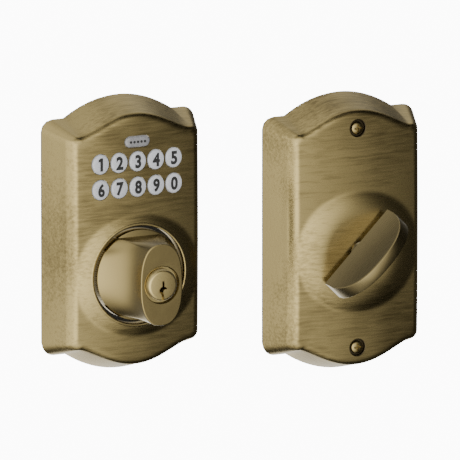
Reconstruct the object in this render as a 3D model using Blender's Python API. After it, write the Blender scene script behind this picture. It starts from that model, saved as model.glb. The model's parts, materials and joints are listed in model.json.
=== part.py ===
"""Keypad smart lock: an outside keypad unit and an inside thumbturn unit, laid out side by side.

Both units face -Y and stand with their door sides on the plane y = 0. The origin is where the outside
unit's spindle axis meets that plane. In use the inside unit is turned round behind the door, on the
same axis.
"""

import math

import bmesh
import bpy
from mathutils import Vector

MM = 0.001

# Overall sizes, in millimetres.
HALF_WIDTH = 38.3            # half the width of a housing at the door
SHOULDER = 54.8              # height of the flat shoulders above a housing's centre
APEX = 63.6                  # height of the arch above a housing's centre
ARCH_HALF = 26.7             # half the width of the arch
CORNER = 6.0                 # corner radius at the door
SIDE_DEPTH = 15.4            # depth of the drafted side wall
BEVEL_DEPTH = 4.5            # depth of the steep bevel round the face
SIDE_DRAFT = 5.3             # how far the side wall leans in
BEVEL_INSET = 2.5            # how far the bevel leans in
CROWN = 1.2                  # bulge of the face at mid height
OUTSIDE_FALL = 4.7           # how much lower the outside unit's shoulder is at the front
OUTSIDE_ARCH_FALL = 4.6      # how much lower its arch is at the front
INSIDE_FALL = 4.7            # the same two for the inside unit
INSIDE_ARCH_FALL = 4.3
BEVEL_FALL = 1.2             # how much lower still the shoulder is at the face
BEVEL_ARCH_FALL = 1.1        # and the arch
INSIDE_GROWTH = 0.9          # how much taller half the inside housing is
OUTSIDE_WALL = 2.2
INSIDE_WALL = 1.6
OUTSIDE_CENTRE = 16.0        # height of the outside housing's centre above its spindle
INSIDE_CENTRE = 6.0          # the same for the inside housing
UNIT_SPACING = 111.3         # from one spindle axis to the other

# The pads and plates against the door.
PAD = 1.8                    # thickness of the gasket and of the support plate
PAD_INSET = 0.6              # how far they stand back from a housing's edge
GASKET_WIDTH = 5.0
BACK_PLATE = 2.0
BOLT_SPACING = 38.1          # between the two through bolts
BOLT_SHANK = 1.9
BOLT_REACH = 26.0            # how far a through bolt stands past the door side
POST_RADIUS = 3.4
POST_REACH = 10.0

# The dome on each face.
DOME_FLAT = 16.0             # radius of its flat top
DOME_CURVE = 0.02            # how fast it falls away outside that, per square millimetre
DOME_APEX = 26.0             # distance of the dome's top from the door side
DOME_WALL = 2.0              # of the hollow dome on the inside cover
DOME_FOOT = 31.0             # its radius where it has sunk under the face
OPENING = 22.7               # radius of the opening round the outside turn

# The keys.
KEY_WIDTH = 8.0
KEY_HEIGHT = 9.0
KEY_PITCH_X = 9.13
KEY_PITCH_Z = 11.8
KEY_TOP_ROW = 36.3           # height of the upper row above the housing's centre
KEY_PROUD = 0.9
KEY_TRAVEL = 1.0
KEY_FLANGE = 0.4             # how much wider the hidden flange is on each side
PILL_WIDTH = 12.2
PILL_HEIGHT = 4.9
PILL_UP = 45.4
MAT = 1.4
BOARD = 1.6
BOARD_HALF = 24.0

# The outside turn and its lock cylinder.
TURN_DISC = 21.1
TURN_DISC_FRONT = 25.0
TURN_FRONT = 48.5
TURN_HALF_WIDTH = 10.4
TURN_HALF_HEIGHT = 18.9
TURN_CUT = 18.0              # where the flat top and bottom cut the disc
TURN_BARREL = 16.0
PLUG_FACE = 7.1
PLUG_BARREL = 6.35
PLUG_HOLE = 8.4
PLUG_PROUD = 1.5
CYLINDER_RADIUS = 8.6
CYLINDER_PINS_UP = 11.8
CYLINDER_PINS_HALF = 3.2

# The thumbturn.
BLADE_HALF_LENGTH = 22.3
BLADE_HEIGHT = 23.4
BLADE_BASE_HALF = 5.0
BLADE_RIDGE_HALF = 2.65
BLADE_ANGLE = 45.0
SPINDLE = 4.6

# The tailpiece that joins the two units through the door.
TAIL_WIDTH = 6.5
TAIL_THICKNESS = 1.6
TAIL_REACH = 50.0

# Screws and the battery.
COVER_SCREW_UP = 51.1
COVER_SCREW_HEAD = 2.95
COVER_SCREW_RECESS = 4.15
COVER_SCREW_SHANK = 1.6
BATTERY = (46.0, 16.8, 26.0)

GAP = 0.3                    # between pieces that touch or are cut to fit
RUN = 0.4                    # running clearance of a turning piece

FACE = PAD + GAP + SIDE_DEPTH + BEVEL_DEPTH      # the face's edge, from the door side
HOUSING_BACK = PAD + GAP

BRASS = ((0.30, 0.23, 0.11), 0.38, 1.0)
PLUG_BRASS = ((0.46, 0.37, 0.17), 0.35, 1.0)
SILVER = ((0.55, 0.55, 0.58), 0.40, 0.6)
STEEL = ((0.50, 0.50, 0.52), 0.35, 1.0)
DARK_STEEL = ((0.10, 0.10, 0.10), 0.50, 0.8)
RUBBER = ((0.03, 0.03, 0.03), 0.80, 0.0)
GREEN_BOARD = ((0.02, 0.13, 0.06), 0.45, 0.0)
BLACK_PLASTIC = ((0.02, 0.02, 0.02), 0.50, 0.0)
SILICONE = ((0.35, 0.36, 0.38), 0.60, 0.0)


# ------------------------------------------------------------------ scene and object helpers

for old in list(bpy.data.objects):
    bpy.data.objects.remove(old)


def frame_at(name, x, z):
    """An empty on a spindle axis, on the door side."""
    empty = bpy.data.objects.new(name, None)
    empty.location = (x * MM, 0, z * MM)
    bpy.context.scene.collection.objects.link(empty)
    return empty


outside_unit = frame_at("outside_unit", 0, 0)
inside_unit = frame_at("inside_unit", UNIT_SPACING, 0)


def paint(obj, finish):
    colour, roughness, metallic = finish
    material = bpy.data.materials.new(obj.name)
    material.use_nodes = True
    shader = material.node_tree.nodes["Principled BSDF"]
    shader.inputs["Base Color"].default_value = (*colour, 1)
    shader.inputs["Roughness"].default_value = roughness
    shader.inputs["Metallic"].default_value = metallic
    obj.data.materials.append(material)


def solid(name, bm, finish, parent, origin=(0, 0, 0)):
    """Makes an object of a bmesh in millimetres. Its origin, in its parent's frame, is given too."""
    bmesh.ops.recalc_face_normals(bm, faces=bm.faces)
    for vertex in bm.verts:
        vertex.co = (vertex.co - Vector(origin)) * MM
    mesh = bpy.data.meshes.new(name)
    bm.to_mesh(mesh)
    bm.free()
    mesh.shade_smooth()
    mesh.set_sharp_from_angle(angle=math.radians(35))
    obj = bpy.data.objects.new(name, mesh)
    bpy.context.scene.collection.objects.link(obj)
    obj.location = Vector(origin) * MM
    obj.parent = parent
    if finish:
        paint(obj, finish)
    return obj


def shape(target, operation, *pieces):
    """Adds or cuts bmesh pieces, which may stand apart but don't cross each other."""
    whole = bmesh.new()
    for piece in pieces:
        bmesh.ops.recalc_face_normals(piece, faces=piece.faces)
        mesh = bpy.data.meshes.new("piece")
        piece.to_mesh(mesh)
        piece.free()
        whole.from_mesh(mesh)
    tool = solid(f"{target.name}_{operation.lower()}_{len(target.modifiers)}", whole, None, target.parent)
    tool.hide_render = True
    tool.display_type = "WIRE"
    modifier = target.modifiers.new(operation.title(), "BOOLEAN")
    modifier.operation = operation
    modifier.object = tool


# ------------------------------------------------------------------ shape helpers, in millimetres


def loft(rings, middle=None):
    """A closed body through rings of points. A middle point closes the last ring with a fan."""
    bm = bmesh.new()
    made = [[bm.verts.new(point) for point in ring] for ring in rings]
    count = len(rings[0])
    for lower, upper in zip(made, made[1:]):
        for i in range(count):
            j = (i + 1) % count
            bm.faces.new((lower[i], lower[j], upper[j], upper[i]))
    bm.faces.new(reversed(made[0]))
    if middle is None:
        bm.faces.new(made[-1])
    else:
        tip = bm.verts.new(middle)
        for i in range(count):
            bm.faces.new((made[-1][i], made[-1][(i + 1) % count], tip))
    return bm


def box(low, high):
    corners = [(low[0], low[2]), (high[0], low[2]), (high[0], high[2]), (low[0], high[2])]
    return loft([[(x, y, z) for x, z in corners] for y in (low[1], high[1])])


def oval(half_width, half_height, y, x=0.0, z=0.0, segments=16):
    return [
        (
            x + half_width * math.cos(math.tau * i / segments),
            y,
            z + half_height * math.sin(math.tau * i / segments),
        )
        for i in range(segments)
    ]


def rod(radius, front, back, x=0.0, z=0.0, segments=20):
    return loft([oval(radius, radius, -y, x, z, segments) for y in (front, back)])


def turned(profile, x=0.0, z=0.0, segments=28):
    """A body turned about an axis along Y. The profile is a closed list of (radius, distance from door)."""
    bm = bmesh.new()
    verts = [bm.verts.new((x + radius, -y, z)) for radius, y in profile]
    edges = [bm.edges.new((a, b)) for a, b in zip(verts, verts[1:] + verts[:1])]
    axis_edges = [e for e in edges if all(abs(v.co.x - x) < 1e-6 for v in e.verts)]
    bmesh.ops.delete(bm, geom=axis_edges, context="EDGES_FACES")
    bmesh.ops.spin(
        bm,
        geom=bm.verts[:] + bm.edges[:],
        cent=(x, 0, z),
        axis=(0, 1, 0),
        dvec=(0, 0, 0),
        angle=math.tau,
        steps=segments,
        use_merge=True,
        use_duplicate=False,
    )
    bmesh.ops.remove_doubles(bm, verts=bm.verts, dist=1e-4)
    return bm


def ring(inner, outer, front, back, x=0.0, z=0.0, segments=28):
    return turned([(inner, front), (outer, front), (outer, back), (inner, back)], x, z, segments)


def disc(radius, front, back, x=0.0, z=0.0, segments=24):
    return turned([(0, front), (radius, front), (radius, back), (0, back)], x, z, segments)


# ------------------------------------------------------------------ the shared housing form


def outline(draw_in, shoulder, apex, softness, corner, centre):
    """(x, z) points of a housing's outline: round corners, flat shoulders, and an arch at both ends.

    A softness of 1 meets the shoulder in a sharp valley, and 2 runs into it in a smooth curve.
    """
    half = HALF_WIDTH - draw_in
    arch = min(ARCH_HALF + (softness - 1) * 3.5, half - corner - 0.1)
    quarter = [
        (half - corner + corner * math.cos(a), shoulder - corner + corner * math.sin(a))
        for a in (math.radians(90 * i / 3) for i in range(4))
    ]
    steps = 12
    top = []
    for i in range(steps + 1):
        part = 1 - 2 * i / steps
        lift = (apex - shoulder) * (1 - part * part) ** softness
        top.append((arch * part, shoulder + lift))
    left = [(-x, z) for x, z in reversed(quarter)]
    upper = quarter + top + left
    lower = [(-x, -z) for x, z in upper]
    return [(x, centre + z) for x, z in upper + lower]


def face_depth(z, centre):
    """Distance of the crowned face from the door side, at a height."""
    share = (z - centre) / APEX
    return FACE + CROWN * (1 - share * share)


def dome_depth(radius):
    return DOME_APEX - DOME_CURVE * max(0, radius - DOME_FLAT) ** 2


def housing_rings(inset, fall, arch_fall, softness, centre, back, growth):
    """Rings from the back edge to the face, and the face's own inner rings."""
    levels = [
        (0, back, 0, 0, 1, CORNER, False),
        (SIDE_DRAFT, FACE - BEVEL_DEPTH, fall, arch_fall, softness, CORNER - 2, True),
        (
            SIDE_DRAFT + BEVEL_INSET,
            FACE,
            fall + BEVEL_FALL,
            arch_fall + BEVEL_ARCH_FALL,
            softness,
            CORNER - 3,
            True,
        ),
    ]
    rings = []
    for draw_in, depth, drop, arch_drop, soft, corner, crowned in levels:
        points = outline(
            draw_in + inset,
            SHOULDER + growth - drop - inset,
            APEX + growth - arch_drop - inset,
            soft,
            max(corner - inset, 0.8),
            centre,
        )
        front = inset if crowned else 0
        bulge = [CROWN * (1 - ((z - centre) / APEX) ** 2) if crowned else 0 for _, z in points]
        rings.append([(x, -(depth + extra - front), z) for (x, z), extra in zip(points, bulge)])
    edge = rings[-1]
    for share in (0.72, 0.36):
        rings.append(
            [
                (x * share, -(face_depth(centre + (z - centre) * share, centre) - inset),
                 centre + (z - centre) * share)
                for x, _, z in edge
            ]
        )
    middle = (0, -(face_depth(centre, centre) - inset), centre)
    return rings, middle


def housing(name, fall, arch_fall, softness, centre, wall, parent, dome, growth=0.0):
    """A cast shell: the outer form with its dome, less the inner form, open at the door side."""
    rings, middle = housing_rings(0, fall, arch_fall, softness, centre, HOUSING_BACK, growth)
    shell = solid(name, loft(rings, middle), BRASS, parent)
    shape(shell, "UNION", dome)
    rings, middle = housing_rings(wall, fall, arch_fall, softness, centre, HOUSING_BACK - 1, growth)
    shape(shell, "DIFFERENCE", loft(rings, middle))
    return shell


def dome_profile(inner, root, count, offset=0.0):
    """Points over the dome from a radius outwards, closed at a depth inside the housing."""
    outer = DOME_FOOT - offset
    radii = [inner + (outer - inner) * i / count for i in range(count + 1)]
    arc = [(radius, dome_depth(radius) - offset) for radius in radii]
    return [(inner, root), *arc, (outer, root)]


# ------------------------------------------------------------------ the outside unit's housing

outside_dome = turned(dome_profile(OPENING - 1, FACE - OUTSIDE_WALL - 1, 4), segments=48)
outside_housing = housing(
    "outside_housing", OUTSIDE_FALL, OUTSIDE_ARCH_FALL, 1.6, OUTSIDE_CENTRE, OUTSIDE_WALL,
    outside_unit, outside_dome,
)
INNER_FACE = FACE - OUTSIDE_WALL
BOSS_PLACES = [(x, OUTSIDE_CENTRE + z) for x in (-27, 27) for z in (-41, 41)]
BOSS_RADIUS = 3.0
PLATE_SCREW_SHANK = 1.0
BOARD_SCREW_PLACES = [(-19.0, OUTSIDE_CENTRE + 44.2), (19.0, OUTSIDE_CENTRE + 44.2)]
BOARD_BOSS = 2.3
BOARD_SCREW_SHANK = 0.8
MAT_BACK = FACE - OUTSIDE_WALL - 4.5
BOARD_FRONT = MAT_BACK - GAP
BOARD_BACK = BOARD_FRONT - BOARD
PLATE_FRONT = HOUSING_BACK + BACK_PLATE
shape(
    outside_housing,
    "UNION",
    *[rod(BOSS_RADIUS, FACE - 0.8, PLATE_FRONT + GAP, x, z, 16) for x, z in BOSS_PLACES],
    *[rod(BOARD_BOSS, FACE - 0.8, BOARD_FRONT + GAP, x, z, 16) for x, z in BOARD_SCREW_PLACES],
)


def pill_ring(width, height, y, x, z, per_end=6):
    """A long round-ended outline across the housing."""
    radius = height / 2
    reach = width / 2 - radius
    points = []
    for side, start in ((1, -90), (-1, 90)):
        for i in range(per_end + 1):
            angle = math.radians(start + 180 * i / per_end)
            points.append((x + side * reach + radius * math.cos(angle), y, z + radius * math.sin(angle)))
    return points


KEY_PLACES = {}
for index in range(10):
    digit = (index + 1) % 10
    column = index % 5 - 2
    row = index // 5
    KEY_PLACES[digit] = (column * KEY_PITCH_X, OUTSIDE_CENTRE + KEY_TOP_ROW - row * KEY_PITCH_Z)
PILL_PLACE = (0.0, OUTSIDE_CENTRE + PILL_UP)
CUT_BACK = INNER_FACE - 2
shape(
    outside_housing,
    "DIFFERENCE",
    loft([pill_ring(PILL_WIDTH + 2 * GAP, PILL_HEIGHT + 2 * GAP, y, *PILL_PLACE) for y in (-40, -CUT_BACK)]),
    rod(OPENING, DOME_APEX + 5, CUT_BACK, segments=48),
    *[
        loft([oval(KEY_WIDTH / 2 + GAP, KEY_HEIGHT / 2 + GAP, y, x, z, 14) for y in (-40, -CUT_BACK)])
        for x, z in KEY_PLACES.values()
    ],
    *[rod(PLATE_SCREW_SHANK + GAP, PLATE_FRONT + 8, 0, x, z, 10) for x, z in BOSS_PLACES],
    *[
        rod(BOARD_SCREW_SHANK + GAP, BOARD_FRONT + 4, BOARD_FRONT - 1, x, z, 10)
        for x, z in BOARD_SCREW_PLACES
    ],
)


# ------------------------------------------------------------------ keys, mat and board

FLANGE_FRONT = INNER_FACE - 0.2
FLANGE_BACK = FLANGE_FRONT - 1.1


def key_body(width, height, top, x, z, make_ring):
    """A button: a hidden flange, a straight side and a softly domed top."""
    levels = [
        (KEY_FLANGE, FLANGE_BACK),
        (KEY_FLANGE, FLANGE_FRONT),
        (0, FLANGE_FRONT),
        (0, top - 0.7),
        (-0.55, top - 0.2),
        (-1.6, top),
    ]
    return loft([make_ring(width + 2 * grow, height + 2 * grow, -depth, x, z) for grow, depth in levels])


def oval_ring(width, height, y, x, z):
    return oval(width / 2, height / 2, y, x, z, 14)


for digit, (x, z) in KEY_PLACES.items():
    top = face_depth(z, OUTSIDE_CENTRE) + KEY_PROUD
    solid(
        f"key_{digit}",
        key_body(KEY_WIDTH, KEY_HEIGHT, top, x, z, oval_ring),
        SILVER,
        outside_unit,
        (x, -top, z),
    )
pill_top = face_depth(PILL_PLACE[1], OUTSIDE_CENTRE) + KEY_PROUD
solid(
    "status_button",
    key_body(PILL_WIDTH, PILL_HEIGHT, pill_top, *PILL_PLACE, pill_ring),
    SILVER,
    outside_unit,
    (PILL_PLACE[0], -pill_top, PILL_PLACE[1]),
)

MAT_FRONT = MAT_BACK + MAT
MAT_BOTTOM = KEY_PLACES[6][1] - KEY_HEIGHT / 2 - 1.5
MAT_TOP = KEY_PLACES[1][1] + KEY_HEIGHT / 2 + 0.5
keypad_mat = solid(
    "keypad_mat",
    box((-BOARD_HALF + 1, -MAT_FRONT, MAT_BOTTOM), (BOARD_HALF - 1, -MAT_BACK, MAT_TOP)),
    SILICONE,
    outside_unit,
)
shape(
    keypad_mat,
    "UNION",
    box((-PILL_WIDTH / 2 - 1, -MAT_FRONT, MAT_TOP - 1), (PILL_WIDTH / 2 + 1, -MAT_BACK, PILL_PLACE[1] + 1.2)),
)
STUD_FRONT = FLANGE_BACK - KEY_TRAVEL - GAP
shape(
    keypad_mat,
    "UNION",
    *[rod(2.4, STUD_FRONT, MAT_BACK + 0.5, x, z, 10) for x, z in KEY_PLACES.values()],
    rod(1.8, STUD_FRONT, MAT_BACK + 0.5, PILL_PLACE[0], PILL_PLACE[1] - 1, 12),
)
BOARD_BOTTOM = MAT_BOTTOM - 1
BOARD_TOP = BOARD_SCREW_PLACES[0][1] + 1.9
keypad_board = solid(
    "keypad_board",
    box((-BOARD_HALF, -BOARD_FRONT, BOARD_BOTTOM), (BOARD_HALF, -BOARD_BACK, BOARD_TOP)),
    GREEN_BOARD,
    outside_unit,
)
shape(
    keypad_board,
    "DIFFERENCE",
    *[
        rod(BOARD_SCREW_SHANK + GAP, BOARD_FRONT + 1, BOARD_BACK - 1, x, z, 12)
        for x, z in BOARD_SCREW_PLACES
    ],
)
for side, (x, z) in zip(("left", "right"), BOARD_SCREW_PLACES):
    solid(
        f"board_screw_{side}",
        turned(
            [
                (0, BOARD_FRONT + 3),
                (BOARD_SCREW_SHANK, BOARD_FRONT + 3),
                (BOARD_SCREW_SHANK, BOARD_BACK - GAP),
                (1.8, BOARD_BACK - GAP),
                (1.8, BOARD_BACK - GAP - 1.3),
                (0, BOARD_BACK - GAP - 1.3),
            ],
            x, z, 12,
        ),
        STEEL,
        outside_unit,
    )
CHIP_BACK = BOARD_BACK - GAP
solid("keypad_chip", box((-13, -CHIP_BACK, 45), (-3, -(CHIP_BACK - 2), 55)), BLACK_PLASTIC, outside_unit)
solid("sounder", disc(6, CHIP_BACK, CHIP_BACK - 5, 8, 50, 24), BLACK_PLASTIC, outside_unit)
solid("cable_socket", box((-6, -CHIP_BACK, 36.5), (6, -(CHIP_BACK - 5), 41)), BLACK_PLASTIC, outside_unit)

# ------------------------------------------------------------------ gasket and back plate


def pad_ring(inset, depth, centre, growth=0.0):
    rise = growth - inset
    points = outline(inset, SHOULDER + rise, APEX + rise, 1, CORNER - min(inset, 4), centre)
    return [(x, -depth, z) for x, z in points]


outside_gasket = solid(
    "outside_gasket",
    loft([pad_ring(PAD_INSET, depth, OUTSIDE_CENTRE) for depth in (PAD, 0)]),
    RUBBER,
    outside_unit,
)
shape(
    outside_gasket,
    "DIFFERENCE",
    loft([pad_ring(PAD_INSET + GASKET_WIDTH, depth, OUTSIDE_CENTRE) for depth in (PAD + 1, -1)]),
)

PLATE_INSET = OUTSIDE_WALL + GAP + 1.6
back_plate = solid(
    "outside_back_plate",
    loft([pad_ring(PLATE_INSET, depth, OUTSIDE_CENTRE) for depth in (PLATE_FRONT, HOUSING_BACK)]),
    STEEL,
    outside_unit,
)
POST_PLACES = [(-BOLT_SPACING / 2, 0), (BOLT_SPACING / 2, 0)]
shape(
    back_plate,
    "UNION",
    *[rod(POST_RADIUS, PLATE_FRONT - 0.5, -POST_REACH, x, z, 20) for x, z in POST_PLACES],
)
HUB_JOURNAL = 5.5
shape(
    back_plate,
    "DIFFERENCE",
    rod(HUB_JOURNAL + RUN, PLATE_FRONT + 1, -1, segments=32),
    *[rod(BOLT_SHANK + GAP, PLATE_FRONT + 1, -POST_REACH - 1, x, z, 16) for x, z in POST_PLACES],
    *[rod(PLATE_SCREW_SHANK + GAP, PLATE_FRONT + 1, -1, x, z, 10) for x, z in BOSS_PLACES],
    box((-7, -PLATE_FRONT - 1, 30), (7, 1, 38)),
)
for index, (x, z) in enumerate(BOSS_PLACES):
    solid(
        f"back_plate_screw_{index + 1}",
        turned(
            [
                (0, PLATE_FRONT + 6),
                (PLATE_SCREW_SHANK, PLATE_FRONT + 6),
                (PLATE_SCREW_SHANK, HOUSING_BACK - GAP),
                (2.5, HOUSING_BACK - GAP),
                (2.1, HOUSING_BACK - GAP - 1.3),
                (0, HOUSING_BACK - GAP - 1.3),
            ],
            x, z, 12,
        ),
        STEEL,
        outside_unit,
    )

# ------------------------------------------------------------------ the outside turn

BEARING_FRONT = INNER_FACE - GAP
BEARING_BACK = BEARING_FRONT - 2.3
CLIP_FRONT = BEARING_BACK - GAP
CLIP_BACK = CLIP_FRONT - 1.2
BARREL_END = CLIP_BACK - 0.8
NECK = 13.5
NECK_END = BARREL_END - 4.0
TURN_BACK = BEARING_FRONT + 0.6
GROOVE_DEPTH = 1.2


TURN_SWEEP = 2.6             # how sharply the flanks sweep in behind the face
TURN_SQUARENESS = 0.8        # 1 would make the face an ellipse
TURN_CORNER = math.radians(54)


def turn_ring(share):
    """One section of the turn, from the disc (0) to the face (1): hollow flanks between flat-cut ends."""
    flank_steps = 7
    end_steps = 4
    cut_angle = math.asin(TURN_CUT / TURN_DISC)
    hollow = (1 - share) ** TURN_SWEEP
    upper = []
    for i in range(flank_steps + 1):
        part = i / flank_steps
        disc_x = TURN_DISC * math.cos(cut_angle * part)
        disc_z = TURN_DISC * math.sin(cut_angle * part)
        face_x = TURN_HALF_WIDTH * math.cos(TURN_CORNER * part) ** TURN_SQUARENESS
        face_z = TURN_HALF_HEIGHT * math.sin(TURN_CORNER * part) ** TURN_SQUARENESS
        upper.append((face_x + (disc_x - face_x) * hollow, disc_z + (face_z - disc_z) * share))
    cut_x = TURN_DISC * math.cos(cut_angle)
    for i in range(1, end_steps // 2 + 1):
        part = i / end_steps
        angle = TURN_CORNER + (math.pi - 2 * TURN_CORNER) * part
        face_x = TURN_HALF_WIDTH * max(0, math.cos(angle)) ** TURN_SQUARENESS
        face_z = TURN_HALF_HEIGHT * math.sin(angle) ** TURN_SQUARENESS
        disc_x = cut_x * (1 - 2 * part)
        upper.append((face_x + (disc_x - face_x) * hollow, TURN_CUT + (face_z - TURN_CUT) * share))
    upper += [(-x, z) for x, z in reversed(upper[:-1])]
    points = upper + [(-x, -z) for x, z in upper]
    pairs = zip(points, points[1:] + points[:1])
    points = [point for point, after in pairs if math.dist(point, after) > 1e-6]
    depth = TURN_DISC_FRONT + (TURN_FRONT - TURN_DISC_FRONT) * share
    return [(x, -depth, z) for x, z in points]


shares = [0, 0.12, 0.26, 0.42, 0.6, 0.8, 0.97]
handle_rings = [[(x * 0.8, -(TURN_DISC_FRONT - 2), z * 0.8) for x, _, z in turn_ring(0)]]
handle_rings += [turn_ring(share) for share in shares]
handle_rings.append([(x * 0.985, -TURN_FRONT, z * 0.985) for x, _, z in turn_ring(1)])
outside_turn = solid("outside_turn", loft(handle_rings), BRASS, outside_unit, (0, -TURN_FRONT, 0))
turn_base = turned(
    [
        (0, TURN_DISC_FRONT + 0.01),
        (TURN_DISC - 0.5, TURN_DISC_FRONT + 0.01),
        (TURN_DISC, TURN_DISC_FRONT - 0.5),
        (TURN_DISC, TURN_BACK),
        (TURN_BARREL, TURN_BACK),
        (TURN_BARREL, CLIP_FRONT + 0.15),
        (TURN_BARREL - GROOVE_DEPTH, CLIP_FRONT + 0.15),
        (TURN_BARREL - GROOVE_DEPTH, CLIP_BACK - 0.15),
        (TURN_BARREL, CLIP_BACK - 0.15),
        (TURN_BARREL, BARREL_END),
        (NECK, BARREL_END),
        (NECK, NECK_END),
        (0, NECK_END),
    ],
    segments=44,
)
shape(outside_turn, "UNION", turn_base)
CYLINDER_FRONT = TURN_FRONT - 2.3
CYLINDER_BACK = 22.0


def cylinder_pieces(clearance, front, back):
    """The lock cylinder's round body and its pin chamber."""
    radius = CYLINDER_RADIUS + clearance
    half = CYLINDER_PINS_HALF + clearance
    top = CYLINDER_PINS_UP + clearance
    return rod(radius, front, back, segments=32), box((-half, -front, 3), (half, -back, top))


pocket_round, pocket_slot = cylinder_pieces(GAP, CYLINDER_FRONT + GAP, NECK_END - 1)
shape(outside_turn, "DIFFERENCE", rod(PLUG_HOLE, TURN_FRONT + 2, CYLINDER_FRONT - 2, segments=32))
shape(outside_turn, "DIFFERENCE", pocket_round)
shape(outside_turn, "DIFFERENCE", pocket_slot)

cylinder_round, cylinder_slot = cylinder_pieces(0, CYLINDER_FRONT, CYLINDER_BACK)
key_cylinder = solid("key_cylinder", cylinder_round, PLUG_BRASS, outside_unit)
shape(key_cylinder, "UNION", cylinder_slot)
shape(key_cylinder, "DIFFERENCE", rod(PLUG_BARREL + GAP, CYLINDER_FRONT + 1, CYLINDER_BACK - 1, segments=32))

PLUG_END = CYLINDER_BACK - 2.5
PLUG_CLIP_FRONT = CYLINDER_BACK - GAP
PLUG_CLIP_BACK = PLUG_CLIP_FRONT - 0.9
HUB_FRONT = NECK_END - 1.0
key_plug = solid(
    "key_plug",
    turned(
        [
            (0, TURN_FRONT + PLUG_PROUD),
            (PLUG_FACE - 0.6, TURN_FRONT + PLUG_PROUD),
            (PLUG_FACE, TURN_FRONT + PLUG_PROUD - 0.4),
            (PLUG_FACE, CYLINDER_FRONT + GAP),
            (PLUG_BARREL, CYLINDER_FRONT + GAP),
            (PLUG_BARREL, PLUG_CLIP_FRONT + 0.1),
            (PLUG_BARREL - 0.8, PLUG_CLIP_FRONT + 0.1),
            (PLUG_BARREL - 0.8, PLUG_CLIP_BACK - 0.1),
            (PLUG_BARREL, PLUG_CLIP_BACK - 0.1),
            (PLUG_BARREL, PLUG_END),
            (0, PLUG_END),
        ],
    ),
    PLUG_BRASS,
    outside_unit,
    (0, -TURN_FRONT - PLUG_PROUD, 0),
)
DRIVE_END = HUB_FRONT - 2.4
shape(key_plug, "UNION", box((-1.5, -PLUG_END - 1, -4), (1.5, -DRIVE_END, 4)))
KEYWAY_DEPTH = 24.0
keyway_front = TURN_FRONT + PLUG_PROUD + 1
keyway_back = keyway_front - KEYWAY_DEPTH
shape(key_plug, "DIFFERENCE", box((-0.5, -keyway_front, -0.6), (0.6, -keyway_back, 1.9)))
shape(key_plug, "DIFFERENCE", box((-1.9, -keyway_front, -3.4), (0.9, -keyway_back, -0.8)))
shape(key_plug, "DIFFERENCE", box((-0.9, -keyway_front, -6.2), (0.1, -keyway_back, -3.0)))
solid(
    "plug_clip",
    ring(PLUG_BARREL - 0.5, CYLINDER_RADIUS - 0.3, PLUG_CLIP_FRONT, PLUG_CLIP_BACK, segments=24),
    STEEL,
    outside_unit,
)
solid("turn_bearing", ring(TURN_BARREL + RUN, 27.0, BEARING_FRONT, BEARING_BACK, segments=36), BLACK_PLASTIC,
      outside_unit)
solid(
    "turn_clip",
    ring(TURN_BARREL - GROOVE_DEPTH + GAP, TURN_BARREL + 3, CLIP_FRONT - 0.05, CLIP_BACK + 0.05, segments=32),
    STEEL,
    outside_unit,
)

# ------------------------------------------------------------------ clutch, hub and tailpiece

CLUTCH_TRAVEL = 1.5
COLLAR_FRONT = BARREL_END - GAP
COLLAR_BACK = COLLAR_FRONT - 2.0
COLLAR_FLANGE = 20.5
DOG_END = HUB_FRONT + GAP
HUB_RADIUS = 13.0
HUB_BACK = PLATE_FRONT + 1.2
clutch_collar = solid(
    "clutch_collar",
    turned(
        [
            (NECK + GAP, COLLAR_FRONT),
            (17.0, COLLAR_FRONT),
            (17.0, COLLAR_BACK + 1.0),
            (COLLAR_FLANGE, COLLAR_BACK + 1.0),
            (COLLAR_FLANGE, COLLAR_BACK),
            (NECK + GAP, COLLAR_BACK),
        ],
        segments=32,
    ),
    STEEL,
    outside_unit,
)
shape(
    clutch_collar,
    "UNION",
    *[box((x - 1.2, -COLLAR_BACK - 0.5, -3), (x + 1.2, -DOG_END, 3)) for x in (-15.6, 15.6)],
)
FORK_BACK = COLLAR_BACK + 1.0 + GAP
FORK_FRONT = FORK_BACK + 0.9
clutch_fork = solid(
    "clutch_fork",
    box((-22, -FORK_FRONT, 2), (22, -FORK_BACK, 30)),
    STEEL,
    outside_unit,
)
MOTOR_UP = 25.5
shape(
    clutch_fork,
    "DIFFERENCE",
    rod(17.0 + GAP, FORK_FRONT + 1, FORK_BACK - 1, segments=32),
    rod(1.3, FORK_FRONT + 1, FORK_BACK - 1, 0, MOTOR_UP, 12),
)
motor_front = FORK_BACK - CLUTCH_TRAVEL - 0.6
solid(
    "clutch_motor",
    turned(
        [
            (0, FORK_FRONT + 2),
            (1.0, FORK_FRONT + 2),
            (1.0, motor_front),
            (4.6, motor_front),
            (4.6, PLATE_FRONT + GAP),
            (0, PLATE_FRONT + GAP),
        ],
        0, MOTOR_UP, 24,
    ),
    STEEL,
    outside_unit,
)
drive_hub = solid(
    "drive_hub",
    turned(
        [
            (0, HUB_FRONT),
            (HUB_RADIUS, HUB_FRONT),
            (HUB_RADIUS, HUB_BACK),
            (HUB_JOURNAL, HUB_BACK),
            (HUB_JOURNAL, HOUSING_BACK),
            (0, HOUSING_BACK),
        ],
    ),
    STEEL,
    outside_unit,
)
TAIL_START = HUB_BACK + 0.2
shape(
    drive_hub,
    "DIFFERENCE",
    rod(5.2, HUB_FRONT + 1, DRIVE_END - 0.4, segments=24),
    box(
        (-TAIL_THICKNESS / 2 - GAP, -TAIL_START - GAP, -TAIL_WIDTH / 2 - GAP),
        (TAIL_THICKNESS / 2 + GAP, 1, TAIL_WIDTH / 2 + GAP),
    ),
)
solid(
    "tailpiece",
    box(
        (-TAIL_THICKNESS / 2, -TAIL_START, -TAIL_WIDTH / 2),
        (TAIL_THICKNESS / 2, TAIL_REACH, TAIL_WIDTH / 2),
    ),
    STEEL,
    outside_unit,
)

# ------------------------------------------------------------------ the inside unit's cover

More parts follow.
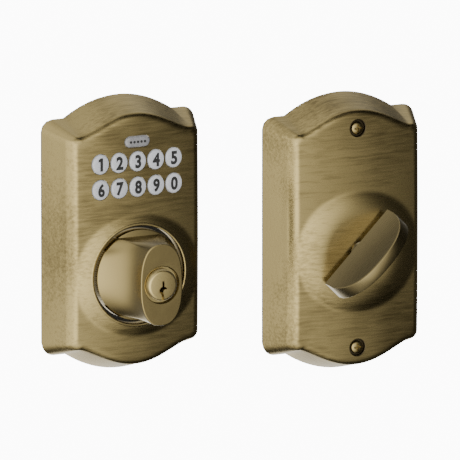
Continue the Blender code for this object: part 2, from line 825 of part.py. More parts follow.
inside_cover = housing(
    "inside_cover", INSIDE_FALL, INSIDE_ARCH_FALL, 1.4, INSIDE_CENTRE, INSIDE_WALL,
    inside_unit, turned(dome_profile(0, FACE - INSIDE_WALL - 1, 7), segments=36), INSIDE_GROWTH,
)
shape(inside_cover, "DIFFERENCE", turned(dome_profile(0, FACE - INSIDE_WALL - 2, 4, DOME_WALL), segments=28))
SCREW_PLACES = {"top": INSIDE_CENTRE + COVER_SCREW_UP, "bottom": INSIDE_CENTRE - COVER_SCREW_UP}
COVER_BOSS = 5.3
PLATE_POST = 3.6
POST_FRONT = PAD + 3.0
screw_face = face_depth(SCREW_PLACES["top"], INSIDE_CENTRE)
recess_floor = screw_face - 1.6
shape(
    inside_cover,
    "UNION",
    *[rod(COVER_BOSS, screw_face - 0.5, POST_FRONT + GAP, 0, z, 24) for z in SCREW_PLACES.values()],
)
shape(
    inside_cover,
    "DIFFERENCE",
    rod(SPINDLE + RUN, DOME_APEX + 2, DOME_APEX - 8, segments=32),
    *[rod(COVER_SCREW_RECESS, screw_face + 2, recess_floor, 0, z, 32) for z in SCREW_PLACES.values()],
)
shape(
    inside_cover,
    "DIFFERENCE",
    *[
        rod(COVER_SCREW_SHANK + GAP, recess_floor + 1, POST_FRONT - 1, 0, z, 16)
        for z in SCREW_PLACES.values()
    ],
)

# ------------------------------------------------------------------ the support plate on the door

HUB_HOLE = 7.6
inside_plate = solid(
    "inside_plate",
    loft([pad_ring(PAD_INSET, depth, INSIDE_CENTRE, INSIDE_GROWTH) for depth in (PAD, 0)]),
    DARK_STEEL,
    inside_unit,
)
BOARD_POSTS = [(-20.0, -27.0), (20.0, -27.0)]
BOARD_POST_FRONT = PAD + 2.6
shape(
    inside_plate,
    "UNION",
    *[rod(PLATE_POST, POST_FRONT, PAD - 0.5, 0, z, 20) for z in SCREW_PLACES.values()],
    *[rod(2.6, BOARD_POST_FRONT, PAD - 0.5, x, z, 16) for x, z in BOARD_POSTS],
)
shape(
    inside_plate,
    "DIFFERENCE",
    rod(HUB_HOLE + RUN, PAD + 1, -1, segments=32),
    *[rod(COVER_SCREW_SHANK + GAP, POST_FRONT + 1, -1, 0, z, 16) for z in SCREW_PLACES.values()],
    *[rod(BOLT_SHANK + GAP, PAD + 1, -1, x, z, 16) for x, z in POST_PLACES],
    *[rod(BOARD_SCREW_SHANK + GAP, BOARD_POST_FRONT + 1, -1, x, z, 10) for x, z in BOARD_POSTS],
    box((-6, -PAD - 1, -20), (6, 1, -13)),
)


def machine_screw(name, z, head_back):
    """A truss-headed screw with a cross recess, through the cover into the support plate."""
    head = head_back + 1.5
    screw = solid(
        name,
        turned(
            [
                (0, head),
                (COVER_SCREW_HEAD - 1.2, head),
                (COVER_SCREW_HEAD - 0.3, head - 0.45),
                (COVER_SCREW_HEAD, head - 1.0),
                (COVER_SCREW_HEAD, head_back),
                (COVER_SCREW_SHANK, head_back),
                (COVER_SCREW_SHANK, GAP),
                (0, GAP),
            ],
            0, z, 20,
        ),
        BRASS,
        inside_unit,
    )
    for half_x, half_z in ((1.7, 0.4), (0.4, 1.7)):
        shape(screw, "DIFFERENCE", box((-half_x, -head - 1, z - half_z), (half_x, -head + 1.2, z + half_z)))


for end, z in SCREW_PLACES.items():
    machine_screw(f"cover_screw_{end}", z, recess_floor + GAP)

# ------------------------------------------------------------------ thumbturn

BLADE_GAP = 2.2              # between the dome and the foot of the blade
BLADE_SQUARENESS = 2.4       # 2 would make the blade half an ellipse


def blade_section(reach):
    """A section across the blade, at a distance along it: wide at the foot, waisted, narrow at the ridge."""
    foot = DOME_APEX + BLADE_GAP
    fullness = 1 - (abs(reach) / (BLADE_HALF_LENGTH + 0.3)) ** BLADE_SQUARENESS
    ridge = foot + BLADE_HEIGHT * fullness ** (1 / BLADE_SQUARENESS)
    side = []
    levels = 4
    for i in range(levels + 1):
        depth = foot + (ridge - foot) * i / levels
        share = min(1, (depth - foot) / BLADE_HEIGHT)
        half = BLADE_RIDGE_HALF + (BLADE_BASE_HALF - BLADE_RIDGE_HALF) * (1 - share) ** 1.8
        side.append((half, depth))
    angle = math.radians(BLADE_ANGLE)
    points = [(half, depth) for half, depth in side] + [(-half, depth) for half, depth in reversed(side)]
    return [
        (
            reach * math.cos(angle) - half * math.sin(angle),
            -depth,
            reach * math.sin(angle) + half * math.cos(angle),
        )
        for half, depth in points
    ]


reaches = [BLADE_HALF_LENGTH * math.sin(math.radians(90 * i / 6)) for i in range(-6, 7)]
thumbturn = solid(
    "thumbturn", loft([blade_section(reach) for reach in reaches]), BRASS, inside_unit, (0, -DOME_APEX, 0)
)
SPRING_FRONT = DOME_APEX - DOME_WALL - 0.9
SPRING_BACK = SPRING_FRONT - 0.8
THUMB_CLIP_FRONT = SPRING_BACK - GAP
THUMB_CLIP_BACK = THUMB_CLIP_FRONT - 0.9
SPINDLE_END = 14.0
THUMB_HUB_FRONT = SPINDLE_END - 0.6
shape(
    thumbturn,
    "UNION",
    turned(
        [
            (0, DOME_APEX + 3),
            (SPINDLE - 0.9, DOME_APEX + 3),
            (SPINDLE, DOME_APEX + BLADE_GAP + 0.4),
            (SPINDLE, THUMB_CLIP_FRONT + 0.15),
            (SPINDLE - 1, THUMB_CLIP_FRONT + 0.15),
            (SPINDLE - 1, THUMB_CLIP_BACK - 0.15),
            (SPINDLE, THUMB_CLIP_BACK - 0.15),
            (SPINDLE, SPINDLE_END),
            (0, SPINDLE_END),
        ],
        segments=32,
    ),
)


def turned_bar(half_length, half_thickness, front, back):
    """A flat bar along Y, its width along the blade."""
    angle = math.radians(BLADE_ANGLE)
    corners = [(1, 1), (-1, 1), (-1, -1), (1, -1)]
    points = []
    for a, b in corners:
        along = a * half_length
        across = b * half_thickness
        points.append(
            (
                along * math.cos(angle) - across * math.sin(angle),
                along * math.sin(angle) + across * math.cos(angle),
            )
        )
    return loft([[(x, -depth, z) for x, z in points] for depth in (front, back)])


DRIVE_HALF = 3.0
DRIVE_THICK = 1.3
drive_tip = THUMB_HUB_FRONT - 3.5
shape(thumbturn, "UNION", turned_bar(DRIVE_HALF, DRIVE_THICK, SPINDLE_END + 1, drive_tip))
solid("spring_washer", ring(SPINDLE + GAP, 8.6, SPRING_FRONT, SPRING_BACK, segments=24), STEEL, inside_unit)
solid(
    "thumbturn_clip",
    ring(SPINDLE - 0.7, 8.0, THUMB_CLIP_FRONT, THUMB_CLIP_BACK, segments=24),
    STEEL,
    inside_unit,
)
THUMB_HUB = 9.5
thumb_hub = solid(
    "thumb_hub",
    turned(
        [
            (0, THUMB_HUB_FRONT),
            (THUMB_HUB, THUMB_HUB_FRONT),
            (THUMB_HUB, PAD + RUN),
            (HUB_HOLE, PAD + RUN),
            (HUB_HOLE, GAP),
            (0, GAP),
        ],
        segments=32,
    ),
    STEEL,
    inside_unit,
)
shape(
    thumb_hub,
    "DIFFERENCE",
    turned_bar(DRIVE_HALF + GAP, DRIVE_THICK + GAP, THUMB_HUB_FRONT + 1, drive_tip - GAP),
    turned_bar(TAIL_WIDTH / 2 + GAP, TAIL_THICKNESS / 2 + GAP, 6.5, -1),
)

# ------------------------------------------------------------------ battery, board and through bolts

BATTERY_BOTTOM = 14.0
TRAY = 0.9
TRAY_BACK = PAD + GAP
tray_front = TRAY_BACK + TRAY
battery_left = -BATTERY[0] / 2 - 2.6
battery_right = battery_left + BATTERY[0]
battery_front = tray_front + GAP + BATTERY[1]
battery_top = BATTERY_BOTTOM + BATTERY[2]
battery = solid(
    "battery",
    box((battery_left, -battery_front, BATTERY_BOTTOM), (battery_right, -tray_front - GAP, battery_top)),
    DARK_STEEL,
    inside_unit,
)
TERMINAL = 2.9
terminal_heights = (BATTERY_BOTTOM + 6.6, battery_top - 6.6)
terminal_depth = tray_front + GAP + BATTERY[1] / 2


def across(radius, left, right, depth, z, segments=20):
    """A round rod along X."""
    return loft(
        [
            [
                (
                    x,
                    -depth + radius * math.cos(math.tau * i / segments),
                    z + radius * math.sin(math.tau * i / segments),
                )
                for i in range(segments)
            ]
            for x in (left, right)
        ]
    )


shape(
    battery,
    "UNION",
    *[across(TERMINAL, battery_right - 1, battery_right + 2, terminal_depth, z) for z in terminal_heights],
)
connector_left = battery_right + GAP
battery_connector = solid(
    "battery_connector",
    box(
        (connector_left, -terminal_depth - 6, BATTERY_BOTTOM + 1),
        (connector_left + 3.4, -terminal_depth + 6, battery_top - 1),
    ),
    BLACK_PLASTIC,
    inside_unit,
)
shape(
    battery_connector,
    "DIFFERENCE",
    *[
        across(TERMINAL + GAP, connector_left - 1, battery_right + 2 + GAP, terminal_depth, z)
        for z in terminal_heights
    ],
)
battery_tray = solid(
    "battery_tray",
    box(
        (battery_left - 1, -tray_front - 9, BATTERY_BOTTOM - GAP - TRAY),
        (battery_right - 1, -TRAY_BACK, battery_top + GAP + TRAY),
    ),
    BLACK_PLASTIC,
    inside_unit,
)
shape(
    battery_tray,
    "DIFFERENCE",
    box(
        (battery_left - 3, -tray_front - 12, BATTERY_BOTTOM - GAP),
        (battery_right + 3, -tray_front, battery_top + GAP),
    ),
)

inside_board_front = BOARD_POST_FRONT + GAP + BOARD
inside_board = solid(
    "inside_board",
    box((-24, -inside_board_front, -38), (24, -BOARD_POST_FRONT - GAP, -21)),
    GREEN_BOARD,
    inside_unit,
)
shape(
    inside_board,
    "DIFFERENCE",
    *[
        rod(BOARD_SCREW_SHANK + GAP, inside_board_front + 1, BOARD_POST_FRONT - 1, x, z, 12)
        for x, z in BOARD_POSTS
    ],
)
solid(
    "inside_cable_socket",
    box((-6, -inside_board_front - GAP - 6, -34), (6, -inside_board_front - GAP, -28.5)),
    BLACK_PLASTIC,
    inside_unit,
)
for side, (x, z) in zip(("left", "right"), BOARD_POSTS):
    solid(
        f"inside_board_screw_{side}",
        turned(
            [
                (0, inside_board_front + GAP + 1.3),
                (1.8, inside_board_front + GAP + 1.3),
                (1.8, inside_board_front + GAP),
                (BOARD_SCREW_SHANK, inside_board_front + GAP),
                (BOARD_SCREW_SHANK, GAP),
                (0, GAP),
            ],
            x, z, 12,
        ),
        STEEL,
        inside_unit,
    )
for side, (x, z) in zip(("left", "right"), POST_PLACES):
    bolt = solid(
        f"through_bolt_{side}",
        turned(
            [
                (0, PAD + GAP + 2.6),
                (2.9, PAD + GAP + 2.6),
                (4.0, PAD + GAP + 1.2),
                (4.0, PAD + GAP),
                (BOLT_SHANK, PAD + GAP),
                (BOLT_SHANK, -BOLT_REACH),
                (0, -BOLT_REACH),
            ],
            x, z, 20,
        ),
        STEEL,
        inside_unit,
    )
    shape(bolt, "DIFFERENCE", box((x - 2.2, -(PAD + GAP + 4), -0.45), (x + 2.2, -(PAD + GAP + 1.5), 0.45)))
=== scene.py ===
import json
import math

import bmesh
import bpy
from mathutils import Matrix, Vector


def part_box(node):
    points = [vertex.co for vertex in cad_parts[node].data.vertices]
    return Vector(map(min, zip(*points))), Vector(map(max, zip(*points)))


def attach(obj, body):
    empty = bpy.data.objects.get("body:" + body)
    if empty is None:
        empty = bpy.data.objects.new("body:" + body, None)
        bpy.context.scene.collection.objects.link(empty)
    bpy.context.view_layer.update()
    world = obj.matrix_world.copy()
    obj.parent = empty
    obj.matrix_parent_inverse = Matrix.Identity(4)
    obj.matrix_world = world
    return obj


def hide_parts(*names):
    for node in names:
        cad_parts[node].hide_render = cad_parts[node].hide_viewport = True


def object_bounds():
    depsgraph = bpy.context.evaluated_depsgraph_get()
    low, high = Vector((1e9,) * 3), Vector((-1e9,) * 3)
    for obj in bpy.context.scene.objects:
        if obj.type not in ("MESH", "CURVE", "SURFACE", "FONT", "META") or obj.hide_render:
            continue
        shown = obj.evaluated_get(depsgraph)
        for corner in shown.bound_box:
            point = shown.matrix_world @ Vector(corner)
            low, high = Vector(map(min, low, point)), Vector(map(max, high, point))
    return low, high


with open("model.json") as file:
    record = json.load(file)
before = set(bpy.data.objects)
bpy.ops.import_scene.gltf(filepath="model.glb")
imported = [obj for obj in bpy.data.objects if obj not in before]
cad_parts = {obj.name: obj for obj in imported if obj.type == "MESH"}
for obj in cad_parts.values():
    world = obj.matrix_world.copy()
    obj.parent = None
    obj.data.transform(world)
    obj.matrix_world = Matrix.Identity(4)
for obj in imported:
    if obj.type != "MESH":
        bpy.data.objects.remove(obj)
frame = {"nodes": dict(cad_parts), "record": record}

cad_box = [list(corner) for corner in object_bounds()]
MM = 0.001

# The view and the studio. A long lens far off, so that the two units stand almost without perspective.
# The paper sweep under them is pale, and the metal mirrors a room with a tall soft light on the left.
VIEW_AZIMUTH = math.radians(-25.7)
VIEW_ELEVATION = math.radians(12.4)
VIEW_DISTANCE = 8.733
VIEW_TARGET = Vector((0.0575, 0, 0.0104))

towards_camera = Vector(
    (
        math.sin(VIEW_AZIMUTH) * math.cos(VIEW_ELEVATION),
        -math.cos(VIEW_AZIMUTH) * math.cos(VIEW_ELEVATION),
        math.sin(VIEW_ELEVATION),
    )
)
lens = bpy.data.cameras.new("camera")
lens.lens = 1500
lens.sensor_width = 36
camera = bpy.data.objects.new("camera", lens)
camera.location = VIEW_TARGET + towards_camera * VIEW_DISTANCE
camera.rotation_euler = towards_camera.to_track_quat("Z", "Y").to_euler()
bpy.context.scene.collection.objects.link(camera)
bpy.context.scene.camera = camera


def link_mesh(name, bm, smooth_angle=35):
    """Makes an object of a bmesh, with its normals outwards and shaded smooth up to an angle."""
    mesh = bpy.data.meshes.new(name)
    bm.to_mesh(mesh)
    bm.free()
    mesh.shade_smooth()
    mesh.set_sharp_from_angle(angle=math.radians(smooth_angle))
    piece = bpy.data.objects.new(name, mesh)
    bpy.context.scene.collection.objects.link(piece)
    return piece


FLOOR_DROP = 0.30
sheet = bmesh.new()
bmesh.ops.create_grid(sheet, x_segments=1, y_segments=1, size=6)
bmesh.ops.translate(sheet, verts=sheet.verts, vec=(0, 0, cad_box[0][2] - FLOOR_DROP))
floor = link_mesh("floor", sheet)
floor.visible_glossy = False
floor.visible_diffuse = False
paper = bpy.data.materials.new("pale_paper")
paper.use_nodes = True
paper_shader = paper.node_tree.nodes["Principled BSDF"]
paper_shader.inputs["Base Color"].default_value = (0.93, 0.93, 0.93, 1)
paper_shader.inputs["Roughness"].default_value = 0.9
paper_shader.inputs["Specular IOR Level"].default_value = 0.1
paper_shader.inputs["Emission Color"].default_value = (1, 1, 1, 1)
paper_shader.inputs["Emission Strength"].default_value = 10
floor.data.materials.append(paper)

world = bpy.data.worlds.new("studio")
bpy.context.scene.world = world
world.use_nodes = True
room = world.node_tree
room.nodes.clear()
# How bright the room is all the way round, in degrees to the right of straight ahead of the faces. The tall
# soft light stands to the left and the room falls off into the dark on the right.
ROUND_THE_ROOM = [
    (-180, 0.4), (-150, 0.35), (-133, 0.6), (-116, 1.5), (-96, 2.2), (-73, 2.4), (-45, 3.6), (-17, 2.9),
    (0, 2.2), (14, 1.4), (24, 0.52), (36, 0.14), (50, 0.06), (90, 0.03), (120, 0.06), (150, 0.2), (180, 0.4),
]
# The lights over and under: the way to each, how wide it is in degrees, how soft its edge is, its strength.
SOFT_LIGHTS = [
    ((0.35, 0.55, 0.75), 22, 14, 1.0),
    ((-0.45, 0.3, 0.84), 24, 12, 1.2),
    ((0.30, 0.80, -0.52), 18, 12, 1.8),
]
ROOM_PEAK = 4.0
# How much of that is left higher and lower, by the upright part of the way looked.
UP_AND_DOWN = [(-1, 0.2), (-0.78, 0.4), (-0.5, 0.9), (-0.3, 1), (0.4, 1), (0.62, 0.25), (1, 0.1)]
coordinates = room.nodes.new("ShaderNodeTexCoord")
parts = room.nodes.new("ShaderNodeSeparateXYZ")
room.links.new(coordinates.outputs["Generated"], parts.inputs["Vector"])
ahead = room.nodes.new("ShaderNodeMath")
ahead.operation = "MULTIPLY"
ahead.inputs[1].default_value = -1
room.links.new(parts.outputs["Y"], ahead.inputs[0])
bearing = room.nodes.new("ShaderNodeMath")
bearing.operation = "ARCTAN2"
room.links.new(parts.outputs["X"], bearing.inputs[0])
room.links.new(ahead.outputs["Value"], bearing.inputs[1])
turn_share = room.nodes.new("ShaderNodeMapRange")
turn_share.inputs["From Min"].default_value = -math.pi
turn_share.inputs["From Max"].default_value = math.pi
room.links.new(bearing.outputs["Value"], turn_share.inputs["Value"])
panorama = room.nodes.new("ShaderNodeValToRGB")
panorama.color_ramp.interpolation = "B_SPLINE"
while len(panorama.color_ramp.elements) < len(ROUND_THE_ROOM):
    panorama.color_ramp.elements.new(0.5)
for stop, (degrees, strength) in zip(panorama.color_ramp.elements, ROUND_THE_ROOM):
    stop.position = (degrees + 180) / 360
    stop.color = (strength / ROOM_PEAK, strength / ROOM_PEAK, strength / ROOM_PEAK, 1)
room.links.new(turn_share.outputs["Result"], panorama.inputs["Fac"])
brightness = room.nodes.new("ShaderNodeMath")
brightness.operation = "MULTIPLY"
brightness.inputs[1].default_value = ROOM_PEAK
room.links.new(panorama.outputs["Color"], brightness.inputs[0])
height = room.nodes.new("ShaderNodeMapRange")
height.inputs["From Min"].default_value = -1
room.links.new(parts.outputs["Z"], height.inputs["Value"])
falloff = room.nodes.new("ShaderNodeValToRGB")
while len(falloff.color_ramp.elements) < len(UP_AND_DOWN):
    falloff.color_ramp.elements.new(0.5)
for stop, (level, share) in zip(falloff.color_ramp.elements, UP_AND_DOWN):
    stop.position = (level + 1) / 2
    stop.color = (share, share, share, 1)
room.links.new(height.outputs["Result"], falloff.inputs["Fac"])
around = room.nodes.new("ShaderNodeMath")
around.operation = "MULTIPLY"
room.links.new(brightness.outputs["Value"], around.inputs[0])
room.links.new(falloff.outputs["Color"], around.inputs[1])
total = around.outputs["Value"]
for way, width, softness, strength in SOFT_LIGHTS:
    facing = room.nodes.new("ShaderNodeVectorMath")
    facing.operation = "DOT_PRODUCT"
    facing.inputs[1].default_value = Vector(way).normalized()
    room.links.new(coordinates.outputs["Generated"], facing.inputs[0])
    fade = room.nodes.new("ShaderNodeMapRange")
    fade.interpolation_type = "SMOOTHSTEP"
    fade.inputs["From Min"].default_value = math.cos(math.radians(width + softness))
    fade.inputs["From Max"].default_value = math.cos(math.radians(width - softness))
    fade.inputs["To Max"].default_value = strength
    room.links.new(facing.outputs["Value"], fade.inputs["Value"])
    add = room.nodes.new("ShaderNodeMath")
    room.links.new(total, add.inputs[0])
    room.links.new(fade.outputs["Result"], add.inputs[1])
    total = add.outputs["Value"]
mirrored = room.nodes.new("ShaderNodeBackground")
mirrored.inputs["Color"].default_value = (1, 0.97, 0.86, 1)
room.links.new(total, mirrored.inputs["Strength"])
plain = room.nodes.new("ShaderNodeBackground")
plain.inputs["Color"].default_value = (1, 1, 1, 1)
plain.inputs["Strength"].default_value = 1.5
path = room.nodes.new("ShaderNodeLightPath")
chosen = room.nodes.new("ShaderNodeMixShader")
surface = room.nodes.new("ShaderNodeOutputWorld")
room.links.new(path.outputs["Is Glossy Ray"], chosen.inputs["Fac"])
room.links.new(plain.outputs["Background"], chosen.inputs[1])
room.links.new(mirrored.outputs["Background"], chosen.inputs[2])
room.links.new(chosen.outputs["Shader"], surface.inputs["Surface"])

# The two cast housings. Each is a zinc shell with drafted walls, a steep bevel, a crowned face and a low,
# flat-topped dome round the spindle. It is brushed across, plated antique brass and lacquered. The outside one
# is pierced for its keys and its turn, the inside one for its spindle and two screws.
HOUSING_HALF = 38.3
HOUSING_SHOULDER = 54.8
HOUSING_APEX = 63.6
ARCH_HALF = 26.7
HOUSING_BACK = 2.1
WALL_FRONT = 17.5
FACE_FRONT = 22.0
CROWN = 1.2
SIDE_CROWN = 1.5
DOME_FLAT = 16.0
DOME_CURVE = 0.02
DOME_APEX = 26.0
DOME_SLOPE = 0.0006
DOME_BLEND = 0.12
OUTSIDE_CENTRE = 16.0
INSIDE_CENTRE = 6.0
INSIDE_GROWTH = 0.9
INSIDE_X = sum(corner[0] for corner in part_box("thumb_hub")) / 2 / MM
FACE_HALF = 30.5
DOME_REACH = 45.0
WALL_DRAW_IN = 5.3
FACE_DRAW_IN = 7.8
BEVEL_FALL = 1.2
BEVEL_ARCH_FALL = 1.1
SIDE_STEPS = 56
ARCH_STEPS = 60
CORNER_STEPS = 8
FACE_STEPS = 60
FILLET_STEPS = 7


def housing_outline(draw_in, shoulder, apex, softness, corner):
    """(x, z) points of an outline with round corners, flat shoulders and an arch at both ends."""
    half = HOUSING_HALF - draw_in
    arch = min(ARCH_HALF + (softness - 1) * 3.5, half - corner - 0.1)
    points = []
    side = shoulder - corner
    for i in range(SIDE_STEPS // 2):
        points.append((half, side * (2 * i + 1) / SIDE_STEPS))
    for i in range(CORNER_STEPS + 1):
        angle = math.radians(90 * i / CORNER_STEPS)
        points.append((half - corner + corner * math.cos(angle), side + corner * math.sin(angle)))
    for i in range(ARCH_STEPS // 2):
        part = 1 - 2 * i / ARCH_STEPS
        points.append((arch * part, shoulder + (apex - shoulder) * (1 - part * part) ** softness))
    points.append((0, apex))
    left = [(-x, z) for x, z in reversed(points[:-1])]
    upper = points + left
    return upper + [(-x, -z) for x, z in upper]


def face_depth(x, z, centre):
    """Depth of the face at a point: the crown, and the dome where it stands higher, blended where they meet."""
    share = (z - centre) / HOUSING_APEX
    crown = FACE_FRONT + CROWN * (1 - share * share) - SIDE_CROWN * (x / FACE_HALF) ** 2
    radius = math.hypot(x, z)
    if radius > DOME_REACH:
        return crown
    dome = DOME_APEX - DOME_CURVE * max(0, radius - DOME_FLAT) ** 2 - DOME_SLOPE * min(radius, DOME_FLAT) ** 2
    gap = (dome - crown) / DOME_BLEND
    if abs(gap) > 30:
        return max(dome, crown)
    return crown + DOME_BLEND * math.log1p(math.exp(gap))


def loop_of(bm, points):
    """A closed loop of edges through points."""
    verts = [bm.verts.new(point) for point in points]
    return [bm.edges.new((a, b)) for a, b in zip(verts, verts[1:] + verts[:1])]


def bridge(bm, loops):
    for lower, upper in zip(loops, loops[1:]):
        bmesh.ops.bridge_loops(bm, edges=lower + upper)


def between(first, second, share):
    return [tuple(a + (b - a) * share for a, b in zip(p, q)) for p, q in zip(first, second)]


def fillet(start, corner, end):
    """Rings of a round over a corner, from the ring start to the ring end."""
    shares = [i / FILLET_STEPS for i in range(FILLET_STEPS + 1)]
    return [between(between(start, corner, share), between(corner, end, share), share) for share in shares]


def housing_skin(centre, fall, arch_fall, softness, growth, inset=0.0):
    """Rings of points over a skin of the housing, from its edge at the door to the middle of its face."""

    def level(draw_in, depth, drop, arch_drop, soft, corner, crowned):
        """One ring. Its depth follows the crown if crowned is the depth of the crown across, and not if 0."""
        outline = housing_outline(
            draw_in + inset,
            HOUSING_SHOULDER + growth - drop - inset,
            HOUSING_APEX + growth - arch_drop - inset,
            soft,
            max(corner - inset, 0.8),
        )
        ring = []
        for x, z in outline:
            bulge = CROWN * (1 - (z / HOUSING_APEX) ** 2) - crowned * (x / FACE_HALF) ** 2 if crowned else 0
            ring.append((x, -(depth + bulge - (inset if crowned else 0)), centre + z))
        return ring

    back = level(0, HOUSING_BACK + inset / 10, 0, 0, 1, 6, 0)
    wall = level(WALL_DRAW_IN, WALL_FRONT, fall, arch_fall, softness, 4, SIDE_CROWN / 2)
    fallen = (fall + BEVEL_FALL, arch_fall + BEVEL_ARCH_FALL)
    face = level(FACE_DRAW_IN, FACE_FRONT, *fallen, softness, 3, SIDE_CROWN)
    scales = [0.985 * (1 - i / FACE_STEPS) for i in range(FACE_STEPS)]
    inward = []
    for scale in scales:
        places = [(x * scale, centre + (z - centre) * scale) for x, _, z in face]
        inward.append([(x, inset - face_depth(x, z, centre), z) for x, z in places])
    rings = [back, between(back, wall, 0.03)]
    rings += [between(back, wall, i / 8) for i in range(1, 8)]
    rings += fillet(between(back, wall, 0.94), wall, between(wall, face, 0.3))
    rings += fillet(between(wall, face, 0.5), face, inward[2])
    return rings + inward[3:]


def housing_shell(centre_x, centre, wall, form):
    """A closed shell: the inner skin, the edge at the door and the outer skin."""
    rings = housing_skin(centre, *form, inset=wall)[::-1] + housing_skin(centre, *form)
    bm = bmesh.new()
    loops = [loop_of(bm, ring) for ring in rings]
    bridge(bm, loops)
    bmesh.ops.contextual_create(bm, geom=loops[0])
    bmesh.ops.contextual_create(bm, geom=loops[-1])
    bmesh.ops.recalc_face_normals(bm, faces=bm.faces)
    bmesh.ops.scale(bm, vec=(MM, MM, MM), verts=bm.verts)
    bmesh.ops.translate(bm, vec=(centre_x * MM, 0, 0), verts=bm.verts)
    return bm


def turned(profile, x=0.0, z=0.0, steps=96):
    """A closed body turned about an axis along Y. The profile is (radius, depth) points in millimetres."""
    bm = bmesh.new()
    verts = [bm.verts.new((radius, -depth, 0)) for radius, depth in profile]
    pairs = zip(verts, verts[1:] + verts[:1])
    edges = [bm.edges.new(pair) for pair in pairs if not all(v.co.x < 1e-6 for v in pair)]
    bmesh.ops.spin(bm, geom=verts + edges, cent=(0, 0, 0), axis=(0, 1, 0), dvec=(0, 0, 0),
                   angle=math.tau, steps=steps, use_merge=True, use_duplicate=False)
    bmesh.ops.remove_doubles(bm, verts=bm.verts, dist=1e-4)
    bmesh.ops.recalc_face_normals(bm, faces=bm.faces)
    bmesh.ops.scale(bm, vec=(MM, MM, MM), verts=bm.verts)
    bmesh.ops.translate(bm, vec=(x * MM, 0, z * MM), verts=bm.verts)
    return bm


def prism(outline, near, far):
    """A closed body of an (x, z) outline in millimetres, between two depths."""
    bm = bmesh.new()
    loop = loop_of(bm, [(x, -near, z) for x, z in outline])
    face = bmesh.ops.contextual_create(bm, geom=loop)["faces"][0]
    grown = bmesh.ops.extrude_face_region(bm, geom=[face])
    moved = [item for item in grown["geom"] if isinstance(item, bmesh.types.BMVert)]
    bmesh.ops.translate(bm, vec=(0, near - far, 0), verts=moved)
    bmesh.ops.recalc_face_normals(bm, faces=bm.faces)
    bmesh.ops.scale(bm, vec=(MM, MM, MM), verts=bm.verts)
    return bm


def cut(piece, *cutters):
    """Cuts closed bmesh bodies, which stand clear of each other, out of a piece."""
    whole = bmesh.new()
    for cutter in cutters:
        mesh = bpy.data.meshes.new("cutter")
        cutter.to_mesh(mesh)
        cutter.free()
        whole.from_mesh(mesh)
    tool = link_mesh("cutter", whole)
    modifier = piece.modifiers.new("cut", "BOOLEAN")
    modifier.object = tool
    bpy.context.view_layer.update()
    graph = bpy.context.evaluated_depsgraph_get()
    result = bpy.data.meshes.new_from_object(piece.evaluated_get(graph))
    piece.modifiers.clear()
    piece.data = result
    bpy.data.objects.remove(tool)
    result.shade_smooth()
    result.set_sharp_from_angle(angle=math.radians(35))


def brushed_metal(name, light, dark, roughness, stretch, grain, bump, streak):
    """Plated metal: fine scratches drawn along one way, broad cloudy tarnish, and a light lacquer."""
    material = bpy.data.materials.new(name)
    material.use_nodes = True
    tree = material.node_tree
    shader = tree.nodes["Principled BSDF"]
    shader.inputs["Metallic"].default_value = 1
    place = tree.nodes.new("ShaderNodeTexCoord")
    wave = tree.nodes.new("ShaderNodeTexNoise")
    wave.inputs["Scale"].default_value = 60
    wave.inputs["Detail"].default_value = 2
    tree.links.new(place.outputs["Object"], wave.inputs["Vector"])
    drift = tree.nodes.new("ShaderNodeVectorMath")
    drift.operation = "MULTIPLY_ADD"
    drift.inputs[1].default_value = (0, 0.002, 0.002)
    tree.links.new(wave.outputs["Color"], drift.inputs[0])
    tree.links.new(place.outputs["Object"], drift.inputs[2])
    line_up = tree.nodes.new("ShaderNodeMapping")
    line_up.inputs["Scale"].default_value = stretch
    tree.links.new(drift.outputs["Vector"], line_up.inputs["Vector"])
    lines = tree.nodes.new("ShaderNodeTexNoise")
    lines.inputs["Scale"].default_value = grain
    lines.inputs["Detail"].default_value = 5
    lines.inputs["Roughness"].default_value = 0.65
    tree.links.new(line_up.outputs["Vector"], lines.inputs["Vector"])
    cloud = tree.nodes.new("ShaderNodeTexNoise")
    cloud.inputs["Scale"].default_value = 22
    cloud.inputs["Detail"].default_value = 3
    tree.links.new(place.outputs["Object"], cloud.inputs["Vector"])
    blend = tree.nodes.new("ShaderNodeMath")
    blend.operation = "MULTIPLY_ADD"
    blend.inputs[1].default_value = streak
    tree.links.new(lines.outputs["Fac"], blend.inputs[0])
    tree.links.new(cloud.outputs["Fac"], blend.inputs[2])
    tone = tree.nodes.new("ShaderNodeValToRGB")
    tone.color_ramp.elements[0].position = 0.35 + streak * 0.3
    tone.color_ramp.elements[0].color = (*dark, 1)
    tone.color_ramp.elements[1].position = 0.65 + streak * 0.7
    tone.color_ramp.elements[1].color = (*light, 1)
    tree.links.new(blend.outputs["Value"], tone.inputs["Fac"])
    tree.links.new(tone.outputs["Color"], shader.inputs["Base Color"])
    gloss = tree.nodes.new("ShaderNodeMapRange")
    gloss.inputs["To Min"].default_value = roughness - 0.06
    gloss.inputs["To Max"].default_value = roughness + 0.08
    tree.links.new(lines.outputs["Fac"], gloss.inputs["Value"])
    tree.links.new(gloss.outputs["Result"], shader.inputs["Roughness"])
    if bump:
        relief = tree.nodes.new("ShaderNodeBump")
        relief.inputs["Strength"].default_value = bump
        relief.inputs["Distance"].default_value = 0.0001
        tree.links.new(lines.outputs["Fac"], relief.inputs["Height"])
        tree.links.new(relief.outputs["Normal"], shader.inputs["Normal"])
    return material


